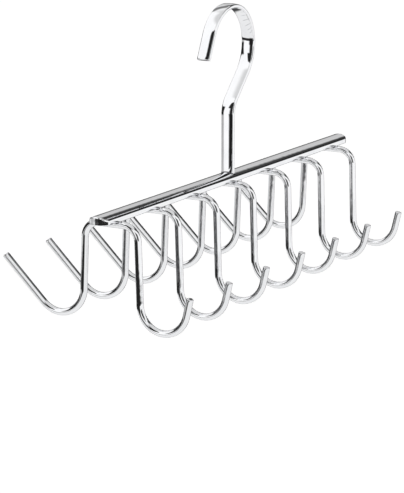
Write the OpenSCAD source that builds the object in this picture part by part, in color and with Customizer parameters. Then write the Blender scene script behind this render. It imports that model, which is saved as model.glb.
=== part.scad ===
// Tie hanger. A crowned flat bar hangs from a flat oval closet hook that is welded upright
// on its middle. Seven one-piece double hooks of round wire are welded across its
// underside: each has a deep short-tipped hook in front and a long slanting arm behind.
// The origin is the centre of the closet rod. X runs along the bar, the front hooks are at -Y.

/* [Bar] */
// Width of the bar, front to back
bar_w = 12; // [11.5:0.5:16]
// Height of the flat side under the crown
bar_side = 2.8; // [1.6:0.1:4.5]
// Height of the crown above the flat sides
bar_crown = 2.2; // [1:0.1:3.4]
// Radius of the bar's corners, seen from above
bar_corner_r = 4.5; // [2:0.5:5]
// Length of bar beyond the middle of each end wire
bar_overhang = 15.5; // [8:0.5:30]

/* [Closet hook] */
// Width of the flat oval strip, front to back
strip_w = 8.4; // [6:0.2:9.6]
// Thickness of the strip, in the plane of the hook
strip_t = 2.8; // [2:0.1:4]
// Inner radius of the hook, which sits on the closet rod
seat_r = 22.25; // [18:0.25:30]
// Angle by which the neck slants away from the stem
neck_slant = 44; // [32:1:52]
// Radius of the bend from stem to neck, at the middle of the strip
neck_bend_r = 14; // [8:0.5:18]
// Upright length of the stem, from the top of the bar to the neck bend
stem_len = 33; // [15:1:80]
// Straight length at the open end of the hook
lip_len = 15.4; // [4:0.2:25]
// Angle by which the open end leans away from upright
lip_lean = 25; // [5:1:40]

/* [Wires] */
// Diameter of the hook wire
wire_d = 4; // [3:0.1:5]
// Distance between neighbouring wires along the bar
wire_pitch = 42; // [30:1:60]
// Distance from the middle of the bar to the top of each leg
leg_reach = 16.8; // [15:0.2:24]
// Radius of the bend from the top run into a leg, at the middle of the wire
shoulder_r = 9; // [6:0.25:11]
// Length bevelled at each cut end of a wire
tip_bevel = 0.5; // [0.2:0.1:1]
// Thinning of wire and strip where they are drawn round a bend
bend_draw = 0.02; // [0.01:0.01:0.05]

/* [Front hooks] */
// Straight length of each front leg
front_leg = 33.9; // [15:0.1:60]
// Outward splay of each front leg
front_splay = 1.8; // [0:0.1:6]
// Radius of the front hook's round bottom, at the middle of the wire
front_bottom_r = 14.6; // [9:0.1:20]
// Outward lean of the front tip
front_lean = 13.3; // [0:0.1:40]
// Straight length of the front tip
front_tip = 10.5; // [3:0.1:30]

/* [Rear hooks] */
// Straight length of each rear leg
rear_leg = 29.4; // [15:0.1:60]
// Outward splay of each rear leg
rear_splay = 2.2; // [0:0.1:6]
// Radius of the rear hook's round bottom, at the middle of the wire
rear_bottom_r = 15.6; // [9:0.1:20]
// Outward lean of the long rear arm
rear_lean = 46.5; // [20:0.5:60]
// Straight length of the long rear arm
rear_arm = 34.5; // [10:0.5:60]

/* [Welds] */
// Depth to which each wire is pressed up into the bar
weld_sink = 0.3; // [0.1:0.05:0.6]
// Clearance between a seated piece and its seat
seat_gap = 0.02; // [0.01:0.01:0.05]
// Spread of a wire weld beyond the side of its wire
bead_spread = 1; // [0.4:0.1:2]
// Depth of a wire weld below the bar
bead_depth = 1.2; // [0.6:0.1:1.5]
// Length of a wire weld along its wire
bead_len = 11; // [4:0.5:11.5]
// Height of the weld round the foot of the stem
foot_weld_h = 0.8; // [0.4:0.1:1.5]

/* [Hidden] */
$fn = 64;

wire_count = 7;
wire_r = wire_d / 2;
wire_seat_r = wire_r + seat_gap;
bar_len = (wire_count - 1) * wire_pitch + 2 * bar_overhang;
bar_h = bar_side + bar_crown;
crown_r = (pow(bar_w / 2, 2) + pow(bar_crown, 2)) / (2 * bar_crown);

// The neck joins the stem's axis, at x = 0, to the hook's circle, centred on the rod.
hook_r = seat_r + strip_t / 2 - bend_draw;
neck_len = (hook_r * cos(neck_slant) - neck_bend_r * (1 - cos(neck_slant))) / sin(neck_slant);
neck_rise = neck_bend_r * sin(neck_slant) + neck_len * cos(neck_slant) + hook_r * sin(neck_slant);
stem_top_z = -neck_rise;
bar_top_z = stem_top_z - stem_len;
bar_z = bar_top_z - bar_h;
wire_z = bar_z + weld_sink - wire_r;
// The foot reaches below the crown's top, to meet it over the whole width of the strip.
foot_drop = crown_r - sqrt(pow(crown_r, 2) - pow(bar_w / 2 - seat_gap, 2));
foot_weld_slope = 0.5;
bend_lap = 0.2;
bead_toe = sqrt(pow(wire_r, 2) - pow(wire_r - weld_sink - bead_depth, 2));

function wire_x(i) = (i - (wire_count + 1) / 2) * wire_pitch;

chrome = [0.80, 0.81, 0.83];
weld_chrome = [0.16, 0.16, 0.17];

// Rounded rectangle, seen from above, that cuts the bar's ends and corners
module bar_plan() {
    square([bar_len - 2 * bar_corner_r, bar_w], center = true);
    square([bar_len, bar_w - 2 * bar_corner_r], center = true);
    for (sx = [-1, 1], sy = [-1, 1])
        translate([sx * (bar_len / 2 - bar_corner_r), sy * (bar_w / 2 - bar_corner_r)])
            circle(r = bar_corner_r);
}

// Cross-section of the bar: flat bottom, upright sides and a crowned top
module bar_section() {
    intersection() {
        translate([-bar_w / 2, 0])
            square([bar_w, bar_h]);
        translate([0, bar_h - crown_r])
            circle(r = crown_r, $fn = 128);
    }
}

module bar_body() {
    intersection() {
        translate([-bar_len / 2, 0, bar_z])
            rotate([90, 0, 90])
                linear_extrude(bar_len)
                    bar_section();
        translate([0, 0, bar_z - 1])
            linear_extrude(bar_h + 2)
                bar_plan();
    }
}

// The bar, with a shallow seat pressed into its underside by each welded wire
module bar() {
    color(chrome)
        difference() {
            bar_body();
            for (i = [1 : wire_count])
                wire_run_seat(i);
        }
}

// Straight cylinder along Y that stands for the space of one wire's top run
module wire_run_seat(i) {
    translate([wire_x(i), 0, wire_z])
        rotate([90, 0, 0])
            cylinder(r = wire_seat_r, h = 2 * bar_w, center = true);
}

// Flat oval cross-section of the strip, thickness along X and width along Y, drawn thinner
// all round by the given amount
module strip_section(thinner) {
    flat = strip_w - strip_t;
    thickness = strip_t - 2 * thinner;
    square([thickness, flat], center = true);
    for (s = [-1, 1])
        translate([0, s * flat / 2])
            circle(d = thickness);
}

// Everything after a bend, carried round its centre. A positive radius turns left.
module turned(radius, sweep) {
    translate([0, radius, 0])
        rotate([0, 0, sign(radius) * sweep])
            translate([0, -radius, 0])
                children();
}

// Bent stretch that starts along X, and laps a little into the straight ones at its ends
module bent(radius, sweep) {
    lap_angle = bend_lap / abs(radius) * 180 / PI;
    translate([0, radius, 0])
        rotate([0, 0, (radius > 0 ? -90 : 90 - sweep) - lap_angle])
            rotate_extrude(angle = sweep + 2 * lap_angle)
                translate([abs(radius), 0])
                    children();
}

// Straight stretch of strip along X, with the rest of the strip at its end
module strip_run(length) {
    rotate([90, 0, 90])
        linear_extrude(length)
            strip_section(0);
    translate([length, 0, 0])
        children();
}

// Bent stretch of strip, with the rest of the strip at its end
module strip_bend(radius, sweep) {
    bent(radius, sweep)
        strip_section(bend_draw);
    turned(radius, sweep)
        children();
}

// Stands what follows on the foot of the stem, heading upwards in the hook's plane
module from_foot() {
    translate([0, 0, bar_top_z - foot_drop])
        rotate([90, 0, 0])
            rotate([0, 0, 90])
                children();
}

// The hook: foot, stem, neck bend, slanting neck, round seat for the rod, and straight lip
module closet_hook() {
    color(chrome)
        difference() {
            from_foot()
                strip_run(foot_drop + stem_len)
                    strip_bend(-neck_bend_r, neck_slant)
                        strip_run(neck_len)
                            strip_bend(hook_r, 180 + neck_slant - lip_lean)
                                strip_run(lip_len);
            bar_body();
        }
}

// Tapered weld round the foot of the stem, cut to the crown of the bar and to the strip
module stem_weld() {
    depth = foot_weld_h + foot_drop;
    foot_r = strip_t / 2 + foot_weld_slope * depth;
    flat = strip_w - strip_t;
    color(weld_chrome)
        difference() {
            translate([0, 0, bar_top_z - foot_drop]) {
                for (s = [-1, 1])
                    translate([0, s * flat / 2, 0])
                        cylinder(r1 = foot_r, r2 = strip_t / 2, h = depth);
                translate([0, flat / 2, 0])
                    rotate([90, 0, 0])
                        linear_extrude(flat)
                            polygon([[-foot_r, 0], [foot_r, 0], [strip_t / 2, depth],
                                [-strip_t / 2, depth]]);
            }
            bar_body();
            from_foot()
                translate([-1, 0, 0])
                    strip_run(stem_len);
        }
}

// Straight stretch of wire along X, with the rest of the wire at its end
module wire_run(length) {
    rotate([0, 90, 0])
        cylinder(r = wire_r, h = length);
    translate([length, 0, 0])
        children();
}

// Bent stretch of wire, with the rest of the wire at its end
module wire_bend(radius, sweep) {
    bent(radius, sweep)
        circle(r = wire_r - bend_draw);
    turned(radius, sweep)
        children();
}

// Last straight stretch of wire along X, cut square with a bevelled rim
module wire_tip(length) {
    rim = wire_r - tip_bevel;
    rotate([0, 90, 0])
        rotate_extrude()
            polygon([[0, 0], [wire_r, 0], [wire_r, length - tip_bevel], [rim, length], [0, length]]);
}

// One side of a double hook from the end of its top run: the shoulder, the splayed leg,
// the round bottom, and the leaning tip or arm
module hook_side(leg, splay, bottom_r, lean, tip) {
    translate([leg_reach - shoulder_r, 0, 0])
        wire_bend(-shoulder_r, 90 - splay)
            wire_run(leg)
                wire_bend(bottom_r, 180 - splay - lean)
                    wire_tip(tip);
}

// One wire, bent into a front hook at -Y and a rear hook at +Y
module hook_wire(i) {
    half_run = leg_reach - shoulder_r;
    color(chrome)
        translate([wire_x(i), 0, wire_z])
            rotate([90, 0, 90]) {
                translate([-half_run, 0, 0])
                    wire_run(2 * half_run);
                hook_side(rear_leg, rear_splay, rear_bottom_r, rear_lean, rear_arm);
                mirror([1, 0, 0])
                    hook_side(front_leg, front_splay, front_bottom_r, front_lean, front_tip);
            }
}

// Two beads of weld, one along each side of a wire where it crosses under the bar
module wire_weld(i) {
    color(weld_chrome)
        difference() {
            translate([wire_x(i), bead_len / 2, bar_z])
                rotate([90, 0, 0])
                    linear_extrude(bead_len)
                        polygon([[-wire_r - bead_spread, 0], [wire_r + bead_spread, 0],
                            [bead_toe, -bead_depth], [-bead_toe, -bead_depth]]);
            wire_run_seat(i);
        }
}

bar();
closet_hook();
stem_weld();
hook_wire(1);  // hook_wire_1
hook_wire(2);  // hook_wire_2
hook_wire(3);  // hook_wire_3
hook_wire(4);  // hook_wire_4
hook_wire(5);  // hook_wire_5
hook_wire(6);  // hook_wire_6
hook_wire(7);  // hook_wire_7
wire_weld(1);  // wire_weld_1
wire_weld(2);  // wire_weld_2
wire_weld(3);  // wire_weld_3
wire_weld(4);  // wire_weld_4
wire_weld(5);  // wire_weld_5
wire_weld(6);  // wire_weld_6
wire_weld(7);  // wire_weld_7
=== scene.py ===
import math

import bpy
import numpy as np
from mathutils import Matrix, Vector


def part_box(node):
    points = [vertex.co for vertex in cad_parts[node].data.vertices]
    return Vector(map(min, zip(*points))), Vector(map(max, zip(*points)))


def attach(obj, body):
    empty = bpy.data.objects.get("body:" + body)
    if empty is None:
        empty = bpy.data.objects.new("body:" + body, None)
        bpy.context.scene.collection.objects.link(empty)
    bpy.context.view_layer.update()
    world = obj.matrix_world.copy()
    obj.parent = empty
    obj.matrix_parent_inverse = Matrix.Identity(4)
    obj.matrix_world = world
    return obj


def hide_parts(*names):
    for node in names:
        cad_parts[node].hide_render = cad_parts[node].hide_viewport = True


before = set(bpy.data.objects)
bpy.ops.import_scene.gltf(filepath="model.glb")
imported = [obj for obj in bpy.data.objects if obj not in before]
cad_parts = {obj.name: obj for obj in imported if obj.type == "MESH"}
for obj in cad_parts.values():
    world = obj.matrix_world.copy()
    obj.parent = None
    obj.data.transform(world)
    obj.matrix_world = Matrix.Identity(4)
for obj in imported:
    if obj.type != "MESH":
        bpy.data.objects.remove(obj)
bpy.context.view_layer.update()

# The bar
# A rolled flat bar with a crowned face, cut to length. Its corners are ground round and
# its edges smoothed before plating. Everything else is welded to it.
bar_low, bar_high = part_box("bar")
bar_half_length = bar_high.x
bar_half_width = bar_high.y
bar_height = bar_high.z - bar_low.z
bar_corner_radius = 0.0045
bar_crown_radius = 0.0093
bar_shoulder_radius = 0.0016
bar_foot_radius = 0.0005
bar_end_dome = 0.00003
bar_side_margin = 0.00008
bar_foot_points = 8
bar_shoulder_points = 14
bar_crown_points = 20
merge_distance = 1e-7


def arc(first, last, count):
    """Angles in radians, evenly spaced from the first angle to the last in degrees."""
    return np.radians(np.linspace(first, last, count))


def lay_grid(name, points, material):
    """Mesh of quads over a grid of points, whose rows are closed rings. A ring that has
    shrunk to a point or a line closes the shape, because its double points are merged."""
    rows, columns = points.shape[:2]
    row, column = np.meshgrid(np.arange(rows - 1), np.arange(columns), indexing="ij")
    following = (column + 1) % columns
    quads = np.stack(
        [
            row * columns + column,
            row * columns + following,
            (row + 1) * columns + following,
            (row + 1) * columns + column,
        ],
        axis=-1,
    ).reshape(-1, 4)
    flat = points.reshape(-1, 3)
    keys = np.round(flat / merge_distance).astype(np.int64)
    _, kept, merged = np.unique(keys, axis=0, return_index=True, return_inverse=True)
    quads = merged.reshape(-1)[quads]
    faces = [tuple(dict.fromkeys(quad)) for quad in quads.tolist()]
    mesh = bpy.data.meshes.new(name)
    mesh.from_pydata(flat[kept].tolist(), [], [face for face in faces if len(face) > 2])
    mesh.polygons.foreach_set("use_smooth", np.ones(len(mesh.polygons), bool))
    piece = bpy.data.objects.new(name, mesh)
    bpy.context.scene.collection.objects.link(piece)
    mesh.materials.append(material)
    return piece


def inset_outline(inset, corner_steps=16, side_steps=120, end_steps=6):
    """Plan outline of the bar, moved inwards. Each corner is a quarter circle whose radius
    shrinks by the inset, and stays a point once the inset is larger than the radius. The
    two ends are domed by a parabola between their corners."""
    centre = max(bar_corner_radius, inset)
    radius = max(bar_corner_radius - inset, 0.0)
    reach = bar_half_length - centre
    spread = bar_half_width - centre
    outline = []
    for turn, along, across in ((0, 1, 1), (90, -1, 1), (180, -1, -1), (270, 1, -1)):
        angle = arc(turn, turn + 90, corner_steps)
        x = along * reach + radius * np.cos(angle)
        y = across * spread + radius * np.sin(angle)
        outline.append(np.stack([x, y], axis=1))
    joined = []
    for index, corner in enumerate(outline):
        steps = side_steps if index % 2 == 0 else end_steps
        share = np.linspace(0, 1, steps + 1)[1:-1, None]
        following = outline[(index + 1) % 4][0]
        straight = corner[-1] + (following - corner[-1]) * share
        outward = (0, -1, 0, 1)[index]
        straight[:, :1] += outward * bar_end_dome * 4 * share * (1 - share)
        joined += [corner, straight]
    return np.concatenate(joined)


def crown_height(across):
    """Height of the crown above the underside: a wide arc across the bar, centred on it."""
    return bar_height - bar_crown_radius + np.sqrt(bar_crown_radius**2 - across**2)


def bar_surface():
    """Closed rings from the middle of the underside up to the crown's middle line. A small
    round at the foot leads into the upright side, which has a ring just inside each of its
    ends to keep it flat. The shoulder lies below the crown by a drop that falls to nothing
    where its arc and the crown's have the same slope. The drop is worked out across the
    long sides and used all the way round, so the crown runs on level to the cut ends."""
    shoulder_span = math.acos(
        (bar_half_width - bar_shoulder_radius) / (bar_crown_radius - bar_shoulder_radius)
    )
    foot = arc(-90, 0, bar_foot_points)
    shoulder = arc(0, math.degrees(shoulder_span), bar_shoulder_points)
    shoulder_inset = bar_shoulder_radius * (1 - np.cos(shoulder))
    shoulder_top = crown_height(bar_half_width - shoulder_inset[-1])
    fall = bar_shoulder_radius * (np.sin(shoulder[-1]) - np.sin(shoulder))
    shoulder_drop = crown_height(bar_half_width - shoulder_inset) - shoulder_top + fall
    crown_inset = np.linspace(shoulder_inset[-1], bar_half_width, bar_crown_points)[1:]
    foot_insets = [bar_half_width, *(bar_foot_radius * (1 - np.cos(foot))), 0.0]
    foot_heights = [0.0, *(bar_foot_radius * (1 + np.sin(foot)))]
    foot_heights.append(bar_foot_radius + bar_side_margin)
    top_insets = [0.0, *shoulder_inset, *crown_inset]
    top_drops = [shoulder_drop[0] + bar_side_margin, *shoulder_drop]
    top_drops += [0.0] * len(crown_inset)
    rings = []
    for inset, height in zip(foot_insets, foot_heights):
        outline = inset_outline(inset)
        rings.append(np.column_stack([outline, np.full(len(outline), height)]))
    for inset, drop in zip(top_insets, top_drops):
        outline = inset_outline(inset)
        rings.append(np.column_stack([outline, crown_height(outline[:, 1]) - drop]))
    return np.array(rings)


chrome_color = (0.93, 0.935, 0.95)
polished_roughness = 0.02
smeared_roughness = 0.22
smear_tint = (0.78, 0.79, 0.82)
smear_start = 0.45
smear_full = 0.75
ripple_height = 0.0004


def plated_finish():
    """Shared finish of the plating. A slow ripple goes into the normal, and faint smears
    from handling raise the roughness and dull the colour."""
    group = bpy.data.node_groups.new("plated_finish", "ShaderNodeTree")
    sockets = (
        ("INPUT", "Color", "NodeSocketColor"),
        ("INPUT", "Ripple", "NodeSocketFloat"),
        ("INPUT", "Smear", "NodeSocketFloat"),
        ("OUTPUT", "Base Color", "NodeSocketColor"),
        ("OUTPUT", "Roughness", "NodeSocketFloat"),
        ("OUTPUT", "Normal", "NodeSocketVector"),
    )
    for side, name, kind in sockets:
        group.interface.new_socket(name, in_out=side, socket_type=kind)
    add, link = group.nodes.new, group.links.new
    entry, leaving = add("NodeGroupInput"), add("NodeGroupOutput")
    place = add("ShaderNodeTexCoord")

    def noise(scale, detail):
        texture = add("ShaderNodeTexNoise")
        texture.inputs["Scale"].default_value = scale
        texture.inputs["Detail"].default_value = detail
        link(place.outputs["Object"], texture.inputs["Vector"])
        return texture.outputs["Fac"]

    smear = add("ShaderNodeMapRange")
    smear.inputs["From Min"].default_value = smear_start
    smear.inputs["From Max"].default_value = smear_full
    link(noise(scale=90, detail=5), smear.inputs["Value"])
    amount = add("ShaderNodeMath")
    amount.operation = "MULTIPLY"
    link(smear.outputs["Result"], amount.inputs[0])
    link(entry.outputs["Smear"], amount.inputs[1])
    rough = add("ShaderNodeMapRange")
    rough.inputs["To Min"].default_value = polished_roughness
    rough.inputs["To Max"].default_value = smeared_roughness
    link(amount.outputs["Value"], rough.inputs["Value"])
    link(rough.outputs["Result"], leaving.inputs["Roughness"])
    dull = add("ShaderNodeMix")
    dull.data_type = "RGBA"
    dull.blend_type = "MULTIPLY"
    dull.inputs["B"].default_value = (*smear_tint, 1)
    link(amount.outputs["Value"], dull.inputs["Factor"])
    link(entry.outputs["Color"], dull.inputs["A"])
    link(dull.outputs["Result"], leaving.inputs["Base Color"])
    ripple = add("ShaderNodeBump")
    ripple.inputs["Distance"].default_value = ripple_height
    link(entry.outputs["Ripple"], ripple.inputs["Strength"])
    link(noise(scale=160, detail=1), ripple.inputs["Height"])
    link(ripple.outputs["Normal"], leaving.inputs["Normal"])
    return group


finish_group = plated_finish()


def plated(name, color, ripple, smear):
    """Bright metal whose colour, roughness and normal come from the shared finish."""
    material = bpy.data.materials.new(name)
    material.use_nodes = True
    tree = material.node_tree
    shader = tree.nodes["Principled BSDF"]
    shader.inputs["Metallic"].default_value = 1.0
    group = tree.nodes.new("ShaderNodeGroup")
    group.node_tree = finish_group
    group.inputs["Color"].default_value = (*color, 1)
    group.inputs["Ripple"].default_value = ripple
    group.inputs["Smear"].default_value = smear
    for socket in ("Base Color", "Roughness", "Normal"):
        tree.links.new(group.outputs[socket], shader.inputs[socket])
    return material


bar_chrome = plated("bar_chrome", chrome_color, ripple=0.10, smear=0.25)
plated_bar = lay_grid("plated_bar", bar_surface() + [0, 0, bar_low.z], bar_chrome)
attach(plated_bar, "root")
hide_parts("bar")

# The closet hook
# A flat oval strip bent cold in one plane: an upright stem, a neck that slants away, a
# round seat for the closet rod and a straight lip. Its foot stands on the bar's crown.
strip_half_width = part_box("closet_hook")[1].y
strip_half_thickness = 0.0014
strip_flat_radius = 0.026
strip_edge_radius = 0.006
strip_corner_radius = 0.0009
stem_length = 0.033
neck_radius = 0.014
neck_slant = 44
seat_radius = 0.02225
lip_length = 0.0154
lip_lean = 25
lip_round = 0.0005
stem_sink = 0.002
hook_step = 0.002
end_rings = 4


def walk(start, heading, stretches, step):
    """Points and headings along a flat path of straight lines and arcs. A stretch is its
    length and None, or its radius and its turn in degrees, positive to the left.
    Points on a line lie about one step apart, and an arc has one for every two degrees
    or so."""
    points, headings = [np.array([start])], [np.array([heading])]
    for size, turn in stretches:
        place, facing = points[-1][-1], headings[-1][-1]
        if turn is None:
            share = np.linspace(0, 1, max(2, round(size / step)) + 1)[1:]
            along = np.array([math.cos(facing), math.sin(facing)])
            points.append(place + size * share[:, None] * along)
            headings.append(np.full(len(share), facing))
        else:
            side = math.copysign(1, turn)
            share = np.linspace(0, 1, max(4, round(abs(turn) / 2)) + 1)[1:]
            angle = facing + math.radians(turn) * share
            left = np.array([-math.sin(facing), math.cos(facing)]) * side
            away = np.stack([np.sin(angle), -np.cos(angle)], axis=1) * side
            points.append(place + size * (left + away))
            headings.append(angle)
    return np.concatenate(points), np.concatenate(headings)


def strip_outline():
    """Section of the strip as thickness and width. Each flat and each edge is a wide arc,
    and small corner arcs touch both from inside. A corner's centre lies where two circles
    cross: one about the flat's centre and one about the edge's, each less the corner."""
    flat_centre = np.array([strip_half_thickness - strip_flat_radius, 0.0])
    edge_centre = np.array([0.0, strip_half_width - strip_edge_radius])
    flat_reach = strip_flat_radius - strip_corner_radius
    edge_reach = strip_edge_radius - strip_corner_radius
    between = edge_centre - flat_centre
    gap = np.linalg.norm(between)
    along = (flat_reach**2 - edge_reach**2 + gap**2) / (2 * gap)
    aside = math.sqrt(flat_reach**2 - along**2)
    sideways = np.array([-between[1], between[0]]) / gap
    corner = flat_centre + between / gap * along + sideways * aside
    flat_meet = math.degrees(math.atan2(*(corner - flat_centre)[::-1]))
    edge_meet = math.degrees(math.atan2(*(corner - edge_centre)[::-1]))
    parts = []
    for centre, radius, first, last, count in (
        (flat_centre, strip_flat_radius, 0, flat_meet, 10),
        (corner, strip_corner_radius, flat_meet, edge_meet, 9),
        (edge_centre, strip_edge_radius, edge_meet, 90, 5),
    ):
        angle = arc(first, last, count)[1:]
        parts.append(centre + radius * np.stack([np.cos(angle), np.sin(angle)], axis=1))
    quarter = np.concatenate(parts)
    half = np.concatenate([quarter, quarter[-2::-1] * [-1, 1], [[-strip_half_thickness, 0]]])
    return np.concatenate([half, -half])[::-1]


def sweep(points, headings, outline, shrink):
    """Section carried along a flat path. Its first measure lies across the path in the
    path's plane and its second square to that plane. Shrink draws each ring in by that
    length, for the ends."""
    across = np.stack([-np.sin(headings), np.cos(headings)], axis=1)
    middle = np.abs(outline).max(axis=0)
    drawn = outline[None] * (1 - shrink[:, None, None] / middle)
    flat = points[:, None] + across[:, None] * drawn[:, :, :1]
    return np.concatenate([flat, drawn[:, :, 1:]], axis=2)


def rounded_end(points, headings, rim, half):
    """Adds rings past the last point that round the rim of a cut end and close its face,
    and returns the points, the headings and how far each ring is drawn in."""
    angle = arc(0, 90, 7)[1:]
    along = np.concatenate([rim * np.sin(angle), np.full(end_rings, rim)])
    face = np.linspace(rim, half, end_rings + 1)[1:]
    shrink = np.concatenate([rim * (1 - np.cos(angle)), face])
    facing = np.array([math.cos(headings[-1]), math.sin(headings[-1])])
    end = points[-1] - rim * facing + along[:, None] * facing
    points = np.concatenate([points[:-1], points[-1:] - rim * facing, end])
    headings = np.concatenate([headings, np.full(len(along), headings[-1])])
    return points, headings, np.concatenate([np.zeros(len(points) - len(along)), shrink])


slant = math.radians(neck_slant)
hook_radius = seat_radius + strip_half_thickness
neck_length = (
    hook_radius * math.cos(slant) - neck_radius * (1 - math.cos(slant))
) / math.sin(slant)
hook_path = walk(
    (0.0, bar_high.z - stem_sink),
    math.pi / 2,
    [
        (stem_length + stem_sink, None),
        (neck_radius, -neck_slant),
        (neck_length, None),
        (hook_radius, 180 + neck_slant - lip_lean),
        (lip_length, None),
    ],
    hook_step,
)
hook_points, hook_headings, hook_shrink = rounded_end(
    *hook_path, lip_round, strip_half_thickness
)

# A first ring drawn in to a line closes the foot of the stem, inside the bar.
hook_points = np.concatenate([hook_points[:1], hook_points])
hook_headings = np.concatenate([hook_headings[:1], hook_headings])
hook_shrink = np.concatenate([[strip_half_thickness], hook_shrink])
hook_sweep = sweep(hook_points, hook_headings, strip_outline(), hook_shrink)
hook_chrome = plated("hook_chrome", chrome_color, ripple=0.06, smear=0.2)
plated_hook = lay_grid("plated_closet_hook", hook_sweep[:, :, [0, 2, 1]], hook_chrome)
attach(plated_hook, "root")
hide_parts("closet_hook")

# The double wire hooks
# Seven lengths of round wire, each bent in one plane into a short-tipped hook in front
# and a hook with a long slanting arm behind. The ends are cut square and tumbled.
wire_radius = 0.002
wire_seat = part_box("hook_wire_1")[1].z - wire_radius
leg_reach = 0.0168
wire_shoulder_radius = 0.009
front_side = {"splay": 1.8, "leg": 0.0339, "round": 0.0146, "lean": 13.3, "tip": 0.0105}
rear_side = {"splay": 2.2, "leg": 0.0294, "round": 0.0156, "lean": 46.5, "tip": 0.0345}
wire_rim = 0.0005
wire_sides = 36
wire_step = 0.0015
wire_chrome = plated("wire_chrome", chrome_color, ripple=0.05, smear=0.2)


def half_hook(side):
    """Path of one side from the middle of the top run: run, shoulder, splayed leg, round
    bottom and leaning tip, as points and headings in the wire's own plane."""
    path = walk(
        (0.0, 0.0),
        0.0,
        [
            (leg_reach - wire_shoulder_radius, None),
            (wire_shoulder_radius, side["splay"] - 90),
            (side["leg"], None),
            (side["round"], 180 - side["splay"] - side["lean"]),
            (side["tip"], None),
        ],
        wire_step,
    )
    return rounded_end(*path, wire_rim, wire_radius)


def double_hook():
    """Both sides as one tube: the front side's rings in reverse order and mirrored, then
    the rear side's, so that the wire runs unbroken from tip to tip."""
    turn = np.arange(wire_sides) * 2 * math.pi / wire_sides
    outline = wire_radius * np.stack([np.cos(turn), np.sin(turn)], axis=1)
    rear_points, rear_headings, rear_shrink = half_hook(rear_side)
    front_points, front_headings, front_shrink = half_hook(front_side)
    mirrored = front_points[:0:-1] * [-1, 1]
    points = np.concatenate([mirrored, rear_points])
    headings = np.concatenate([-front_headings[:0:-1], rear_headings])
    shrink = np.concatenate([front_shrink[:0:-1], rear_shrink])
    return sweep(points, headings, outline, shrink)


wire_rings = double_hook()
for node in sorted(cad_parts):
    if not node.startswith("hook_wire_"):
        continue
    low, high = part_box(node)
    rings = wire_rings[:, :, [2, 0, 1]] + [(low.x + high.x) / 2, 0, wire_seat]
    wire = lay_grid("plated_" + node, rings, wire_chrome)
    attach(wire, "root")
    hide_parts(node)

# The wire welds
# A small bead on each side of every wire holds it to the bar's underside. Each was run by
# hand, so it ripples along its length, and its plating is uneven. Its colour is painted
# dark, as painted shade for the corner between the wire and the bar.
weld_half_length = 0.0056
weld_rings = 45
weld_swell = 0.07
weld_waves = 17
weld_phase_step = 1.9
weld_phase_shift = 2.4

# Points of a bead's section: how far out from the wire's middle, then how high above the
# bar's underside.
weld_bar_edge = (0.0028, 0.0)
weld_wire_edge = (0.001936, -0.0013)
weld_hollow = (0.00205, -0.0004)
weld_inside = ((0.0013, -0.0011), (0.001, -0.0002), (0.0012, 0.0002), (0.0026, 0.0002))
weld_corner = (0.0016, -0.0001)
# The weld colour is painted shade: it is made dark for the shade in the corners where the
# wires and the stem meet the bar, not for the colour of the metal.
weld_painted_shade_color = (0.16, 0.16, 0.17)
weld_chrome = plated("weld_chrome", weld_painted_shade_color, ripple=0.5, smear=0.9)


def weld_bead(side, phase):
    """One bead as rings along the wire. Its section is a hollow curve from the bar to the
    wire's flank, a parabola pulled towards the hollow point, and it is closed inside the
    metal. Each ring is scaled about the corner it fills: it swells with the waves and
    shrinks to nothing at both blunt ends."""
    along = np.linspace(-1, 1, weld_rings)
    waves = np.sin(along * weld_waves + phase) * (1 - along**4)
    size = np.sqrt(1 - np.abs(along) ** 8) * (1 + weld_swell * waves)
    share = np.linspace(0, 1, 11)[:, None]
    curve = (
        (1 - share) ** 2 * np.array(weld_bar_edge)
        + 2 * share * (1 - share) * np.array(weld_hollow)
        + share**2 * np.array(weld_wire_edge)
    )
    ring = np.concatenate([curve, weld_inside])
    drawn = weld_corner + (ring - weld_corner) * size[:, None, None]
    bead = np.empty((len(along), len(ring), 3))
    bead[:, :, 0] = drawn[:, :, 0] * side
    bead[:, :, 1] = (along * weld_half_length)[:, None]
    bead[:, :, 2] = drawn[:, :, 1]
    return bead[:, ::side]


def join_grids(name, grids, material):
    """One mesh from several closed grids, made one by one and joined in order."""
    pieces = [lay_grid(name, grid, material) for grid in grids]
    with bpy.context.temp_override(
        active_object=pieces[0], selected_editable_objects=pieces
    ):
        bpy.ops.object.join()
    return pieces[0]


wire_weld_nodes = sorted(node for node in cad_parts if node.startswith("wire_weld_"))
for number, node in enumerate(wire_weld_nodes):
    low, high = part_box(node)
    place = [(low.x + high.x) / 2, 0, bar_low.z]
    phase = weld_phase_step * number
    beads = [weld_bead(-1, phase) + place, weld_bead(1, phase + weld_phase_shift) + place]
    weld = join_grids("plated_" + node, beads, weld_chrome)
    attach(weld, "root")
    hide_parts(node)

# The stem weld
# A thin fillet closes the corner between the foot of the stem and the crown of the bar,
# where the strip was welded upright before plating.
foot_weld_height = 0.0006
foot_weld_spread = 0.0006
foot_weld_bite = 0.0003
foot_weld_overlap = 0.00003


def foot_fillet():
    """Hollow quarter circle carried round the strip's section, as rings of its own section.
    It leaves the strip upright and runs out flat on the bar, whose crown falls away from
    its middle line, and it is closed inside the metal of both."""
    outline = strip_outline()
    outline = outline * (1 - foot_weld_overlap / np.abs(outline).max(axis=0))
    ahead, behind = np.roll(outline, -1, axis=0), np.roll(outline, 1, axis=0)
    run = ahead - behind
    outward = np.stack([-run[:, 1], run[:, 0]], axis=1)
    outward /= np.linalg.norm(outward, axis=1)[:, None]
    angle = arc(0, 90, 9)
    spread = foot_weld_spread * (1 - np.cos(angle))
    lift = foot_weld_height * (1 - np.sin(angle))
    bite = foot_weld_bite
    spread = np.concatenate([[-bite], spread, [foot_weld_spread, -bite]])
    lift = np.concatenate([[foot_weld_height], lift, [-bite, -bite]])
    places = outline[None] + spread[:, None, None] * outward[None]
    heights = bar_low.z + crown_height(places[:, :, 1]) + lift[:, None]
    fillet = np.concatenate([places, heights[:, :, None]], axis=2)
    return fillet.transpose(1, 0, 2)[:, ::-1]


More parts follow.
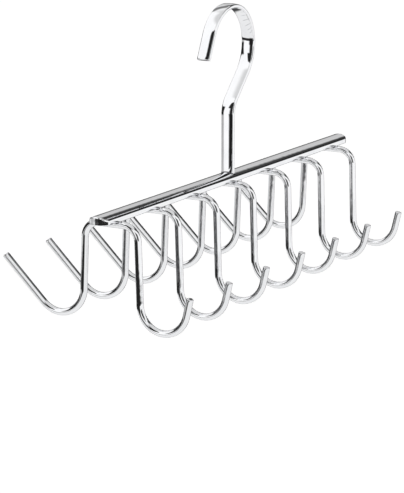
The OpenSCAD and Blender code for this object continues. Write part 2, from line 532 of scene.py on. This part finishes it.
foot_rings = foot_fillet()
foot_rings = np.concatenate([foot_rings, foot_rings[:1]])
# The stem weld uses the same dark weld material, whose colour is painted shade for the
# corner between the stem and the bar.
foot_weld = lay_grid("plated_stem_weld", foot_rings, weld_chrome)
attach(foot_weld, "root")
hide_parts("stem_weld")

# The floor
# A plain pale floor far below the hanging part, so that its shadow falls out of frame. Its
# faint glow lifts it to the white of the background, and leaves the shadow on it.
floor_drop = 0.6
floor_size = 12.0
floor_glow = 0.5
floor_corners = np.array([[-1, -1], [1, -1], [1, 1], [-1, 1]]) * floor_size / 2
floor_mesh = bpy.data.meshes.new("pale_floor")
floor_mesh.from_pydata(
    [(x, y, -floor_drop) for x, y in floor_corners.tolist()], [], [(0, 1, 2, 3)]
)
floor = bpy.data.objects.new("pale_floor", floor_mesh)
floor.visible_glossy = False
bpy.context.scene.collection.objects.link(floor)
floor_material = bpy.data.materials.new("pale_floor")
floor_material.use_nodes = True
floor_shader = floor_material.node_tree.nodes["Principled BSDF"]
floor_shader.inputs["Base Color"].default_value = (0.85, 0.85, 0.85, 1)
floor_shader.inputs["Roughness"].default_value = 0.9
floor_shader.inputs["Emission Color"].default_value = (1, 1, 1, 1)
floor_shader.inputs["Emission Strength"].default_value = floor_glow
floor_mesh.materials.append(floor_material)

# The studio
# Bright plating shows what stands round it: a white room with a pale table, a softbox
# high on the left, and dark flags that give the metal its black lines. The camera itself
# sees plain white behind the part.
room_light = 0.97


def studio_panel():
    """Mask of one panel of the room by direction, 1 inside and 0 outside. Along azimuth
    it is the wrapped turn from the middle, less half the width. Along elevation it is the
    height above the lower edge and below the upper one. Each edge is a smooth step."""
    group = bpy.data.node_groups.new("studio_panel", "ShaderNodeTree")
    for name in ("Azimuth", "Elevation", "Middle", "Half Width", "Low", "High", "Soft"):
        group.interface.new_socket(name, in_out="INPUT", socket_type="NodeSocketFloat")
    group.interface.new_socket("Mask", in_out="OUTPUT", socket_type="NodeSocketFloat")
    link = group.links.new
    entry, leaving = group.nodes.new("NodeGroupInput"), group.nodes.new("NodeGroupOutput")

    def math_node(kind, *values):
        node = group.nodes.new("ShaderNodeMath")
        node.operation = kind
        for socket, value in zip(node.inputs, values):
            if isinstance(value, (int, float)):
                socket.default_value = value
            else:
                link(value, socket)
        return node.outputs["Value"]

    def smooth_edge(inside):
        step = group.nodes.new("ShaderNodeMapRange")
        step.interpolation_type = "SMOOTHSTEP"
        step.inputs["From Min"].default_value = -0.5
        step.inputs["From Max"].default_value = 0.5
        link(math_node("DIVIDE", inside, entry.outputs["Soft"]), step.inputs["Value"])
        return step.outputs["Result"]

    turn = math_node("SUBTRACT", entry.outputs["Azimuth"], entry.outputs["Middle"])
    turn = math_node("ABSOLUTE", math_node("WRAP", turn, 180, -180))
    side = smooth_edge(math_node("SUBTRACT", entry.outputs["Half Width"], turn))
    height = entry.outputs["Elevation"]
    low = smooth_edge(math_node("SUBTRACT", height, entry.outputs["Low"]))
    high = smooth_edge(math_node("SUBTRACT", entry.outputs["High"], height))
    mask = math_node("MULTIPLY", side, math_node("MULTIPLY", low, high))
    link(mask, leaving.inputs["Mask"])
    return group


world = bpy.data.worlds.new("studio")
bpy.context.scene.world = world
world.use_nodes = True
world_nodes, world_link = world.node_tree.nodes, world.node_tree.links.new
room = world_nodes.new("ShaderNodeTexCoord")
room_axes = world_nodes.new("ShaderNodeSeparateXYZ")
world_link(room.outputs["Generated"], room_axes.inputs["Vector"])
room_angles = []
for operation, axes in (("ARCTAN2", "YX"), ("ARCSINE", "Z")):
    angle = world_nodes.new("ShaderNodeMath")
    angle.operation = operation
    for socket, axis in zip(angle.inputs, axes):
        world_link(room_axes.outputs[axis], socket)
    degrees = world_nodes.new("ShaderNodeMath")
    degrees.operation = "DEGREES"
    world_link(angle.outputs["Value"], degrees.inputs["Value"])
    room_angles.append(degrees.outputs["Value"])

# Each panel: from and to azimuth, from and to elevation, softness of its edges, all in
# degrees, and its brightness. Azimuth runs from +X towards +Y. The camera stands at 210.
# A panel that goes all round reaches past the half turn, so that no soft edge shows.
studio_panels = {
    "table": (-270, 270, -100, -14, 6, 0.88),
    "back_wall": (-20, 60, -12, 28, 10, 0.60),
    "ceiling": (-270, 270, 55, 100, 20, 0.70),
    "table_far_edge": (-14, 66, -42, 8, 12, 0.06),
    "back_flag": (-42, 8, 13, 44, 6, 0.02),
    "back_flag_top": (-4, 32, 28, 44, 6, 0.05),
    "right_flag": (-62, -24, 36, 56, 8, 0.02),
    "top_right_flag": (-95, -58, 50, 64, 8, 0.08),
    "back_gap": (25, 60, 32, 46, 8, 0.20),
    "left_softbox": (60, 152, 26, 62, 10, 1.05),
    "left_wall": (100, 146, -13, -6, 6, 0.45),
    "left_flag": (62, 146, -8, 22, 4, 0.02),
    "left_slit": (141, 158, -12, 30, 2.5, 1.05),
    "left_table_edge": (70, 158, -19, -12.6, 1.2, 0.02),
    "camera_side_low": (156, 203, -20, -2, 4, 0.015),
    "camera_side_table": (146, 296, -14.5, -11.7, 0.8, 0.02),
    "camera_side_left": (158, 174, -17, 40, 4, 0.015),
    "camera_side_high": (152, 178, 20, 44, 2.5, 0.02),
    "camera_side_top": (156, 198, 33, 48, 3, 0.02),
    "behind_camera": (203, 250, 0, 34, 6, 0.04),
}
panel_group = studio_panel()
brightness = world_nodes.new("ShaderNodeValue")
brightness.outputs["Value"].default_value = room_light
room_value = brightness.outputs["Value"]
for name, (first, last, low, high, soft, value) in studio_panels.items():
    panel = world_nodes.new("ShaderNodeGroup")
    panel.name = name
    panel.node_tree = panel_group
    world_link(room_angles[0], panel.inputs["Azimuth"])
    world_link(room_angles[1], panel.inputs["Elevation"])
    panel.inputs["Middle"].default_value = (first + last) / 2
    panel.inputs["Half Width"].default_value = (last - first) / 2
    panel.inputs["Low"].default_value = low
    panel.inputs["High"].default_value = high
    panel.inputs["Soft"].default_value = soft
    mix = world_nodes.new("ShaderNodeMix")
    world_link(panel.outputs["Mask"], mix.inputs["Factor"])
    world_link(room_value, mix.inputs["A"])
    mix.inputs["B"].default_value = value
    room_value = mix.outputs["Result"]
ray = world_nodes.new("ShaderNodeLightPath")
seen = world_nodes.new("ShaderNodeMix")
world_link(ray.outputs["Is Camera Ray"], seen.inputs["Factor"])
world_link(room_value, seen.inputs["A"])
seen.inputs["B"].default_value = 1.0
world_link(seen.outputs["Result"], world_nodes["Background"].inputs["Strength"])
world_nodes["Background"].inputs["Color"].default_value = (1, 1, 1, 1)

# The camera
# It looks down on the hanger from in front and to the left, from well back. The lens and
# the sensor are in millimetres, and the tilt and turn in degrees.
camera_tilt = 90 - 13.058
camera_turn = -59.665
camera_data = bpy.data.cameras.new("camera")
camera = bpy.data.objects.new("camera", camera_data)
bpy.context.scene.collection.objects.link(camera)
camera_data.sensor_width = 36
camera_data.lens = 180.3
camera.location = (-1.2174, -0.6950, 0.2080)
camera.rotation_mode = "XYZ"
camera.rotation_euler = (math.radians(camera_tilt), 0, math.radians(camera_turn))
bpy.context.scene.camera = camera
bpy.context.scene.view_settings.view_transform = "Standard"
